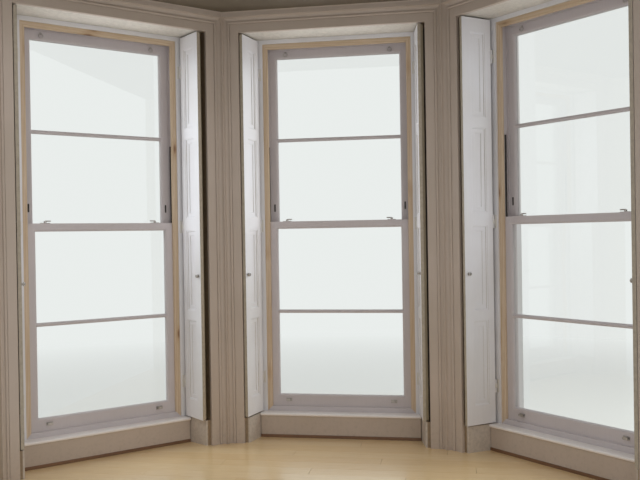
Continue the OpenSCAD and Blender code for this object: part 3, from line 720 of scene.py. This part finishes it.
def staff_beads(finish, primer):
    """Four mitred lengths of rounded bead to each window, each drawn along its own X. The feet are primed."""
    mitre_gap, rebate = 0.0002, 0.002
    profile = [(BEAD_W, 0), (0, 0), (0, BEAD_ROUND - BEAD_T)]
    profile += arc((BEAD_ROUND, BEAD_ROUND - BEAD_T), BEAD_ROUND, 180, 270, 6)[1:] + [(BEAD_W, -BEAD_T)]
    corners = ring_corners(BEAD_ACROSS, BOARD_H + BEAD_W, SASH_TOP_H + rebate - LAP)
    out = Vector((0, 1, 0))
    for window, turn in FACETS.items():
        for k, side in enumerate(("right", "head", "left", "foot")):
            start = ring_at(corners[k], profile)
            end = ring_at(corners[(k + 1) % 4], profile)
            run = (end[1] - start[1]).normalized()
            local = Matrix((run, run.cross(out), out)).transposed().to_4x4()
            local.translation = (start[1] + end[1]) / 2
            back = local.inverted()
            shape = Shape(100 + 10 * turn + k)
            shape.loft([[back @ (p + run * mitre_gap) for p in start],
                        [back @ (p - run * mitre_gap) for p in end]])
            look, slot = (primer, "sash_paint") if side == "foot" else (finish, "bare_pine")
            bead = shape.piece(f"{window}_bead_{side}", look, "bay", facet_matrix(turn) @ local)
            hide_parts("staff_beads")


def board_ends(finish):
    """Ends that carry each window board's rounded nosing on to the base panels of its shutter boxes."""
    radius = BOARD_T / 2
    back, foot = HANGING_T + BED, BOARD_H - BOARD_T + BED
    nosing = arc((APRON_IN + NOSING - radius, BOARD_H - radius), radius, -90, 90, 10)
    profile = [(back, BOARD_H), (back, foot)] + [(inwards, max(height, foot)) for inwards, height in nosing]
    start = BEAD_ACROSS + BEAD_W + BED
    solids = [[side_ring(profile, end, lambda inwards: start), side_ring(profile, end, leaf_side)]
              for end in (-1, 1)]
    alike_pieces("board_ends", finish, 120, solids)


def floor_edges(finish):
    """A thin dark-brown strip along the foot of each apron: painted shade, for the dark line of shade and its
    reflection where apron and floor meet.
    """
    thick, high, easing = 0.0045, 0.022, 0.003
    near = APRON_IN + BED
    profile = [(near, BED), (near + thick, BED)]
    profile += arc((near + thick - easing, high - easing), easing, 0, 90, 4) + [(near, high)]
    alike_pieces("floor_edge", finish, 130,
                 [[side_ring(profile, end, leaf_side) for end in (-1, 1)]])


def pane_spans(foot, top, bottom_h, top_h):
    """Foot and top of the two panes of a sash."""
    glass_foot = foot + bottom_h
    glass_top = top - top_h
    middle = (glass_foot + glass_top) / 2
    return [(glass_foot, middle - BAR_T / 2), (middle + BAR_T / 2, glass_top)]


def glazing_mouldings(finish):
    """Ovolo and fillet round each pane, over the bevel that the part's sashes have."""
    fillet, root = 0.0015, 0.0004
    for window, turn in FACETS.items():
        for which, (out, *sash) in SASHES.items():
            face = out + PANE_MOULD
            profile = arc((PANE_MOULD, face), PANE_MOULD - fillet, 270, 180, 6)
            profile += [(0, face), (0, face + root), (PANE_MOULD + root, out + fillet)]
            shape = Shape(200 + turn)
            for span in pane_spans(*sash):
                corners = ring_corners(HALF_GLASS, *span)
                shape.loft([ring_at(corner, profile) for corner in corners], closed=True)
            shape.piece(f"{window}_{which}_sash_moulding", finish, "bay", facet_matrix(turn))


# Masonry outside

SKIN_FRONT = 0.004
SKIN_BACK = 0.010
JOINT = 0.007
BLOCK_EDGE = 0.004
EASED_FRONT = SKIN_FRONT - BLOCK_EDGE
COURSES = 10
COURSE_FOOT = FLOOR_H - FLOOR_T
CORNICE_FOOT = FLOOR_H + WALL_TOP_H - CORNICE_H
LINTEL_Z = FLOOR_H + LINTEL_H
COURSE_H = (LINTEL_Z - COURSE_FOOT) / COURSES
LINTEL_BEARING = 0.150
VOUSSOIRS = 7
CILL_BLOCKS = 3


def wall_place(turn, across, out, z):
    return facet_matrix(turn) @ Vector((across, out, z - FLOOR_H))


def flat_block(shape, turn, corners, face_out):
    """A block with eased edges from its corners of (across, z) on a wall's face, with joints all round."""
    corners = [Vector(c) for c in corners]
    middle = sum(corners, Vector((0, 0))) / len(corners)

    def inset(amount):
        return [c - Vector([math.copysign(amount, way) for way in c - middle]) for c in corners]

    layers = [(inset(JOINT / 2), -SKIN_BACK), (inset(JOINT / 2), EASED_FRONT),
              (inset(JOINT / 2 + BLOCK_EDGE), SKIN_FRONT)]
    shape.loft([[wall_place(turn, c.x, face_out + depth, c.y) for c in ring] for ring, depth in layers])


def corner_block(shape, turn, left_len, right_len, z0, z1, face_out):
    """A block bent round the corner between the facet turned by turn, on its left, and the next one."""
    z0 += JOINT / 2
    z1 -= JOINT / 2

    def section(side, length, front):
        """Section at that length from the corner, on its left for side 1, or at the corner for no length."""
        ring = []
        for depth, z in ((-SKIN_BACK, z0), (EASED_FRONT, z0), (front, z0 + BLOCK_EDGE),
                         (front, z1 - BLOCK_EDGE), (EASED_FRONT, z1), (-SKIN_BACK, z1)):
            across = corner_across(face_out) - length if length else corner_across(face_out + depth)
            ring.append(wall_place(turn if side > 0 else turn - 1, side * across, face_out + depth, z))
        return ring

    left_end = left_len - JOINT / 2
    right_end = right_len - JOINT / 2
    shape.loft([section(1, left_end, EASED_FRONT), section(1, left_end - BLOCK_EDGE, SKIN_FRONT),
                section(1, 0, SKIN_FRONT),
                section(-1, right_end - BLOCK_EDGE, SKIN_FRONT), section(-1, right_end, EASED_FRONT)])


def arms(turn, returned, plain):
    """Lengths to the left and right of a corner. The ends of the bay run back to the house wall."""
    return returned if turn == CORNERS[0] else plain, returned if turn == CORNERS[-1] else plain


def pier_blocks(finish):
    """Ten courses of lined blocks on the piers, bonded round the corners, and one more beside the lintels."""
    shape = Shape(31)
    corner = corner_across(WALL_OUT)
    half_pier = corner - REVEAL_HALF
    return_len = corner - BACK_Y
    for i in range(COURSES):
        z0, z1 = COURSE_FOOT + COURSE_H * i, COURSE_FOOT + COURSE_H * (i + 1)
        for turn in CORNERS:
            left, right = arms(turn, return_len, half_pier)
            if (i + turn) % 2 == 0:
                corner_block(shape, turn, left, right / 2, z0, z1, WALL_OUT)
                flat_block(shape, turn - 1, rectangle(right / 2 - corner, right - corner, z0, z1), WALL_OUT)
            else:
                corner_block(shape, turn, left / 2, right, z0, z1, WALL_OUT)
                flat_block(shape, turn, rectangle(corner - left, corner - left / 2, z0, z1), WALL_OUT)
    for turn in CORNERS:
        lengths = arms(turn, return_len, half_pier - LINTEL_BEARING)
        corner_block(shape, turn, *lengths, LINTEL_Z, CORNICE_FOOT, WALL_OUT)
    shape.piece("pier_blocks", finish, "bay", smooth_below=0)


def spandrel_blocks(finish):
    """Three blocks under each stone cill and a flat arch of wedge blocks over each window."""
    shape = Shape(32)
    high_half = REVEAL_HALF + LINTEL_BEARING
    for turn in FACETS.values():
        for i in range(CILL_BLOCKS):
            a, b = (REVEAL_HALF * (2 * k / CILL_BLOCKS - 1) for k in (i, i + 1))
            flat_block(shape, turn, rectangle(a, b, COURSE_FOOT, FLOOR_H + STONE_BED_H), WALL_OUT)
        for i in range(VOUSSOIRS):
            a, b = (2 * k / VOUSSOIRS - 1 for k in (i, i + 1))
            flat_block(shape, turn, [(a * REVEAL_HALF, LINTEL_Z), (b * REVEAL_HALF, LINTEL_Z),
                                     (b * high_half, CORNICE_FOOT), (a * high_half, CORNICE_FOOT)], WALL_OUT)
        for end in (-1, 1):
            flat_block(shape, turn, [(end * REVEAL_HALF, LINTEL_Z), (end * high_half, LINTEL_Z),
                                     (end * high_half, CORNICE_FOOT)], WALL_OUT)
    shape.piece("window_blocks", finish, "bay", smooth_below=0)


def plinth_blocks(finish):
    """Two courses round the plinth, bonded round the corners."""
    shape = Shape(33)
    face = WALL_OUT + PLINTH_PROJ
    corner = corner_across(face)
    course_h = (COURSE_FOOT - PLINTH_SLOPE) / 2
    for z0, near, count in ((0, 0.30, 2), (course_h, 0.44, 3)):
        z1 = z0 + course_h
        for turn in CORNERS:
            corner_block(shape, turn, *arms(turn, corner - BACK_Y, near), z0, z1, face)
        step = 2 * (corner - near) / count
        for turn in FACETS.values():
            for k in range(count):
                a = near - corner + k * step
                flat_block(shape, turn, rectangle(a, a + step, z0, z1), face)
    shape.piece("plinth_blocks", finish, "bay", smooth_below=0)


# Lead roof

ROLL_H = 0.034
ROLL_HALF = 0.024
ROLL_SUNK = 0.004
ROLL_STEP = 0.62
# Gaps at the ends of a roll, and the shortest roll that is laid
EAVES_GAP = 0.030
HIP_GAP = 0.06
TOP_GAP = 0.05
WALL_GAP = 0.20
SHORTEST_ROLL = 0.15


def roof_z(reach):
    """Height of the roof at that distance from the middle of the bay, square to a facet."""
    eaves = APOTHEM + WALL_OUT + CORNICE_PROJ
    return FLOOR_H + WALL_TOP_H + EAVES_T + (eaves - reach) * math.tan(ROOF_PITCH)


def roll(shape, start, end):
    """A rounded roll along the roof from start to end, with sunk ends."""
    run = (end - start).normalized()
    across = run.cross(Vector((0, 0, 1))).normalized()
    up = across.cross(run)
    edge = ROLL_HALF + ROLL_SUNK
    section = [(-edge, -ROLL_SUNK), *arc((0, ROLL_H - ROLL_HALF), ROLL_HALF, 180, 0, 8), (edge, -ROLL_SUNK)]
    stations = [(0.0, 0.55), (0.012, 0.9), (0.03, 1.0)]
    length = (end - start).length
    rings = []
    for along, size in stations + [(length - a, s) for a, s in reversed(stations)]:
        centre = start + run * along
        rings.append([centre + across * (x * size) + up * (z * size if z > 0 else z) for x, z in section])
    shape.loft(rings)


def lead_rolls(finish):
    """Rolls up the three slopes and the two end slopes, and one along each hip."""
    shape = Shape(41)
    eaves = APOTHEM + WALL_OUT + CORNICE_PROJ - EAVES_GAP
    stop = BACK_EDGE + WALL_GAP

    def slope_point(turn, across, reach):
        place = facet_matrix(turn) @ Vector((across, reach - APOTHEM, 0))
        return Vector((place.x, place.y, roof_z(reach)))

    def roll_up(point, reach):
        """A roll from the eaves to that reach, or to where it comes near the house wall."""
        while point(reach).y < stop and reach < eaves:
            reach += 0.005
        if point(eaves).y > stop and eaves - reach > SHORTEST_ROLL:
            roll(shape, point(eaves), point(reach))

    for turn in (*CORNERS, -2):
        for k in (-1.5, -0.5, 0.5, 1.5):
            across = k * ROLL_STEP
            roll_up(lambda reach: slope_point(turn, across, reach), abs(across) / SLANT + HIP_GAP)
    for turn in CORNERS:
        roll_up(lambda reach: slope_point(turn, reach * SLANT, reach), TOP_GAP)
    shape.piece("lead_rolls", finish, "bay")


# Shutters and fittings


def hinge_matrix(window, pack):
    """From a leaf's own axes to the frame: X along the leaf from its hinge, Y into its box."""
    angle = SPLAY - math.pi / 2 - AJAR.get((window, pack), 0)
    return (facet_matrix(FACETS[window]) @ Matrix.Diagonal((PACK_SIDES[pack], 1, 1, 1))
            @ Matrix.Translation((HINGE_ACROSS, -HINGE_IN, 0)) @ Matrix.Rotation(angle, 4, "Z"))


def panel_heights():
    """Foot and top of the four panels of a leaf."""
    panel_h = (LEAF_TOP - LEAF_FOOT - sum(LEAF_RAILS)) / 4
    spans = []
    foot = LEAF_FOOT
    for rail in LEAF_RAILS[:4]:
        foot += rail
        spans.append((foot, foot + panel_h))
        foot += panel_h
    return spans


def panel_profile():
    """Points of (inwards from the opening's edge, depth) down two rounded steps to a flat panel."""
    shoulder, quirk, lip, cut = (0.0006, 0.0016), 0.0008, 0.0003, 0.0002
    first, second, second_foot = (0.0090, 0.0060), (0.0055, 0.0040), 0.0330

    def rounded(start, size, steps):
        return [(start[0] + size[0] * a, start[1] + size[1] * b) for a, b in arc((0, 1), 1, -72, 0, steps)]

    points = [(0, 0), shoulder] + rounded(shoulder, first, 4)
    across, depth = points[-1]
    points += [(across + cut, depth + quirk), (second_foot, depth + quirk / 2),
               (second_foot + lip, depth + quirk)]
    points += rounded(points[-1], second, 3)
    across, depth = points[-1]
    return points + [(across + lip, depth + quirk)]


def panelled_leaves(nodes, paints):
    """Copies of the part's leaves, with their panels sunk deeper and moulded in two steps."""
    widen, touching, merged = 0.004, 0.0001, 0.00003
    near, far = LEAF_START + HINGE_STILE, LEAF_W - ROOM_STILE
    for (window, pack), paint in paints.items():
        node = f"{window}_window_{pack}_leaf"
        place = hinge_matrix(window, pack)
        back = place.inverted()
        shape = Shape(91)
        bm = shape.bm
        bm.from_mesh(nodes[node].data)
        bmesh.ops.remove_doubles(bm, verts=bm.verts, dist=0.000002)
        sunk = []
        for face in bm.faces:
            points = [back @ v.co for v in face.verts]
            depths = [p.y for p in points]
            if (min(depths) > -touching and 0.0005 < max(depths) < PANEL_SINK + 0.0002
                    and all(near - 0.001 < p.x < far + 0.001 for p in points)):
                sunk.append(face)
        bmesh.ops.delete(bm, geom=sunk, context="FACES")
        for vert in bm.verts:
            point = back @ vert.co
            if abs(point.y) < touching and min(abs(point.x - near), abs(point.x - far)) < touching:
                point.x += -widen if point.x < (near + far) / 2 else widen
                vert.co = place @ point
        for foot, top in panel_heights():
            rings = [[bm.verts.new(place @ Vector((x, depth, z))) for x, z in rectangle(
                near - widen + off, far + widen - off, foot + off, top - off)]
                for off, depth in panel_profile()]
            for a, b in zip(rings, rings[1:]):
                for i in range(4):
                    bm.faces.new((a[i], a[(i + 1) % 4], b[(i + 1) % 4], b[i]))
            bm.faces.new(rings[-1])
        bmesh.ops.remove_doubles(bm, verts=bm.verts, dist=merged)
        leaf = shape.piece(f"{window}_window_{pack}_panelled_leaf", paint, f"{window}_window_{pack}_shutter")
        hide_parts(node)


def knobs(finish):
    """Small dull metal knobs over the turned ones of the part, which they cover by a hair."""
    rose, waist = KNOB_D * 0.44, KNOB_D * 0.22
    cover, tip, steps = 0.0004, 0.0005, 24
    grip = KNOB_D / 2 + cover
    profile = [(tip, -0.001), (rose, -0.001), (rose, 0.0016), (rose * 0.9, 0.0024), (waist * 1.25, 0.0034),
               (waist, 0.0055), (waist, KNOB_PROJ * 0.42), (waist * 1.3, KNOB_PROJ * 0.5)]
    profile += arc((0, KNOB_PROJ - grip + cover), grip, -8, 84, 9) + [(tip, KNOB_PROJ + cover)]
    circle = arc((0, 0), 1, 0, 360, steps)[:-1]
    for window in FACETS:
        for pack in PACK_SIDES:
            place = (hinge_matrix(window, pack) @ Matrix.Translation((LEAF_W - KNOB_EDGE, 0, KNOB_H))
                     @ Matrix.Rotation(math.pi / 2, 4, "X"))
            shape = Shape(51)
            shape.loft([[place @ Vector((r * x, r * y, along)) for x, y in circle] for r, along in profile])
            shape.piece(f"{window}_window_{pack}_knob", finish, f"{window}_window_{pack}_shutter",
                        smooth_below=50)


def sash_stops(finish):
    """Dark travel stops let into the stiles of the upper sashes, just over the meeting rails; their dark is
    partly painted shade, for the dark of the slots.
    """
    across, height = HALF_GLASS + STILE_W * 0.45, MEETING_H + 0.105
    half_w, half_h, proud = 0.006, 0.029, 0.0012
    outline = arc((0, half_h - half_w), half_w, 0, 180, 8) + arc((0, half_w - half_h), half_w, 180, 360, 8)
    layers = ((0.001, 1.0), (-proud * 0.6, 1.0), (-proud, 0.86))
    solids = [[[Vector((end * across + x * size, UPPER_OUT + out, height + z * size)) for x, z in outline]
               for out, size in layers] for end in (-1, 1)]
    alike_pieces("sash_stops", finish, 61, solids)


# Stage, lamps and camera


def stage_floor():
    """Pale ground that fades into the world where it is seen far away."""
    half, drop = 120, 0.002
    finish = Finish("stage_floor")
    colour = finish.blend(finish.noise(0.4, detail=2), (0.76, 0.76, 0.75), (0.80, 0.80, 0.79))
    finish.put(finish.shader.inputs["Base Color"], colour)
    finish.put(finish.shader.inputs["Roughness"], 0.9)
    distance = finish.vector("LENGTH", finish.place)
    far = finish.math("MULTIPLY", finish.seen(), finish.range(distance, 4, 14))
    finish.mix(far, finish.shader, finish.node("ShaderNodeEmission", {"Color": (SEEN_WORLD,) * 3}))
    mesh = bpy.data.meshes.new("stage_floor")
    mesh.from_pydata([(x, y, 0) for x, y in rectangle(-half, half, -half, half)], [], [(0, 1, 2, 3)])
    mesh.materials.append(finish.material)
    plane = bpy.data.objects.new("stage_floor", mesh)
    plane.location.z = -drop
    bpy.context.scene.collection.objects.link(plane)


def studio_world():
    """One even tone where the world is seen; as a light, stronger from outside than from the room."""
    world = bpy.data.worlds.new("studio")
    bpy.context.scene.world = world
    world.use_nodes = True
    sky = Nodes(world.node_tree, "World Output")
    lit = sky.tree.nodes["Background"]
    outwards = sky.parts(sky.node("ShaderNodeTexCoord").outputs["Generated"])["Y"]
    sky.put(lit.inputs["Color"], (1.0, 0.99, 0.97))
    sky.put(lit.inputs["Strength"],
            sky.range(outwards, -0.4, 0.25, ROOM_WORLD, SKY_WORLD, interpolation_type="SMOOTHSTEP"))
    even = sky.node("ShaderNodeBackground", {"Color": (SEEN_WORLD,) * 3, "Strength": 1.0})
    sky.mix(sky.seen(), lit, even)


def area_lamp(name, place, target, size, power, colour):
    lamp = bpy.data.lights.new(name, "AREA")
    lamp.shape = "RECTANGLE"
    lamp.size, lamp.size_y = size
    lamp.energy = power
    lamp.color = colour
    made = bpy.data.objects.new(name, lamp)
    made.location = place
    made.rotation_euler = (Vector(target) - Vector(place)).to_track_quat("-Z", "Y").to_euler()
    made.visible_camera = False
    made.visible_glossy = False
    bpy.context.scene.collection.objects.link(made)


def daylight(powers):
    """A lamp over the upper glass of each window, on the room side, that lights the recess and the floor."""
    inwards, foot, top = 0.035, 1.25, SASH_TOP_H - TOP_RAIL
    height = (foot + top) / 2
    size = (2 * HALF_GLASS, top - foot)
    for window, turn in FACETS.items():
        place = facet_matrix(turn) @ Vector((0, -inwards, height))
        target = facet_matrix(turn) @ Vector((0, -1, height))
        area_lamp(f"{window}_daylight", place, target, size, powers[window], (0.90, 0.94, 1.0))


def photo_camera():
    """The camera of the photograph, turned by its yaw, its pitch and then its roll."""
    camera = bpy.data.cameras.new("photo_camera")
    camera.sensor_width = 36
    camera.lens = FOCAL_PX * camera.sensor_width / PHOTO_W
    camera.clip_end = 500
    made = bpy.data.objects.new("photo_camera", camera)
    made.matrix_world = (Matrix.Translation(CAMERA_PLACE) @ Matrix.Rotation(CAMERA_YAW, 4, "Z")
                         @ Matrix.Rotation(math.pi / 2 + CAMERA_PITCH, 4, "X")
                         @ Matrix.Rotation(CAMERA_ROLL, 4, "Z"))
    bpy.context.scene.collection.objects.link(made)
    bpy.context.scene.camera = made


def main():
    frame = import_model()
    nodes = frame["nodes"]
    joinery = brushed_paint("cream_paint", srgb(190, 175, 163), 0.42, srgb(181, 166, 152))
    white = white_paint("white_paint")
    # Darker olive on the flaps: old paint, and painted shade for the dark boxes they fold into.
    old_paint_and_shade = brushed_paint("old_paint_and_shade", srgb(158, 146, 122), 0.5, srgb(142, 128, 103), dirt=0.4)
    # One primer in two copies: a greyer one on the sashes as painted shade, and a paler one on the boards,
    # white primer and painted light where the nosings catch the window light.
    primer = primed_timber("off_white_primer", srgb(202, 194, 195))
    board_primer_and_highlight = primed_timber("board_primer_and_highlight", srgb(240, 234, 231), 0.3)
    rough = brushed_paint("rough_timber", srgb(160, 138, 106), 0.75, srgb(136, 114, 84))
    mastic = brushed_paint("mastic", srgb(206, 201, 190), 0.6, srgb(182, 175, 160))
    # Dark brown for the strip at the apron feet, which is painted shade.
    foot_shade_strip = brushed_paint("foot_shade_strip_paint", srgb(121, 86, 57), 0.4, srgb(104, 73, 49))
    pine = bare_pine("bare_pine")
    boards = floor_boards_finish("floor_boards")
    # The ceiling's dark colour is painted shade.
    ceiling = plaster("plaster")
    render = lime_render("lime_render")
    joints = lime_render("render_joints", joints=True)
    stone = sandstone("sandstone")
    lead = lead_sheet("lead")
    glass = window_glass("window_glass")
    nickel = metal("satin_nickel", srgb(192, 187, 182), srgb(154, 149, 144), 0.34, 0.6)
    dull = metal("dull_metal", srgb(176, 172, 166), srgb(142, 138, 132), 0.4, 0.55)
    # Dark bronze: on the balance tubes it is painted shade, for tubes seen dark in their shadowed channels;
    # on the stops it is partly so.
    dark = metal("dark_bronze_and_shade", srgb(66, 62, 58), srgb(48, 45, 42), 0.45, 0.4)
    hinge = brushed_paint("painted_hinges", srgb(224, 221, 216), 0.36, srgb(206, 200, 190), dirt=0.2)

    def dress(material, *names):
        for name in names:
            materials = nodes[name].data.materials
            materials.clear()
            materials.append(material)

    dress(joints, "plinth", "spandrel_walls", "corner_piers", "end_piers", "lintels")
    dress(stone, "cornice", "stone_cills")
    dress(lead, "roof")
    dress(ceiling, "ceiling")
    dress(boards, "floor")
    dress(pine, "staff_beads")
    dress(glass, "glass_panes")
    dress(nickel, "sash_fittings")
    # The balance tubes are dark as painted shade.
    dress(dark, "balance_tubes")
    dress(hinge, "shutter_hinges")
    dress(joinery, "aprons")
    dress(board_primer_and_highlight, "window_boards")
    # A darker cream below the height of the window boards.
    base_cream = srgb(199, 188, 177)
    # Painted shade: a darker cream on the faces of the boxes that look down.
    shaded_soffit_cream = srgb(212, 205, 194)
    # Bare timber darkened as painted shade, for the deep inside of the shutter boxes.
    bare_and_shaded_inside = srgb(148, 128, 104)
    # Darker paint on the leaves' ends: worn paint, and painted shade for ends that face the unlit room.
    worn_and_shaded_edge = srgb(176, 164, 146)
    leaf_paints = {}
    for window, turn in FACETS.items():
        dress(primer, f"{window}_frame", f"{window}_upper_sash", f"{window}_lower_sash")
        dress(joinery, f"{window}_architrave")
        boxes = white_paint(f"{window}_box_paint", (below_mask, FLOOR_H + BOARD_H, base_cream),
                            (facing_mask, (0, 0, -1), shaded_soffit_cream), (shaded_box_mask, turn, bare_and_shaded_inside))
        dress(boxes, f"{window}_shutter_boxes")
        for pack in PACK_SIDES:
            along = tuple(hinge_matrix(window, pack).to_3x3() @ Vector((1, 0, 0)))
            # The ends that face along each leaf take the darker colour, partly as painted shade.
            leaf = white_paint(f"{window}_{pack}_leaf_paint", (facing_mask, along, worn_and_shaded_edge))
            dress(leaf, f"{window}_window_{pack}_leaf")
            leaf_paints[window, pack] = leaf
            dress(old_paint_and_shade, f"{window}_window_{pack}_flap")

    lay_floor(boards, rough)
    staff_beads(pine, primer)
    board_ends(board_primer_and_highlight)
    floor_edges(foot_shade_strip)
    outer_reveals(white, mastic)
    ceiling_fillets(joinery)
    glazing_mouldings(primer)
    panelled_leaves(nodes, leaf_paints)
    pier_blocks(render)
    spandrel_blocks(render)
    plinth_blocks(render)
    lead_rolls(lead)
    knobs(dull)
    sash_stops(dark)

    stage_floor()
    studio_world()
    area_lamp("left_sky_lamp", (-6.5, 1, 5.5), (-0.6, 0.2, 2.8), (4, 4), 190, (0.95, 0.98, 1.0))
    area_lamp("right_sky_lamp", (5.5, 5, 5.5), (-0.3, 0.2, 2.8), (4, 4), 240, (0.95, 0.98, 1.0))
    daylight({"left": 7.2, "centre": 7.1, "right": 3.6})
    area_lamp("room_lamp", (6, -5, 5), (-0.6, 0, 2.6), (5, 4), 100, (1.0, 0.97, 0.92))
    photo_camera()

    bpy.context.scene.view_settings.view_transform = "Standard"


main()
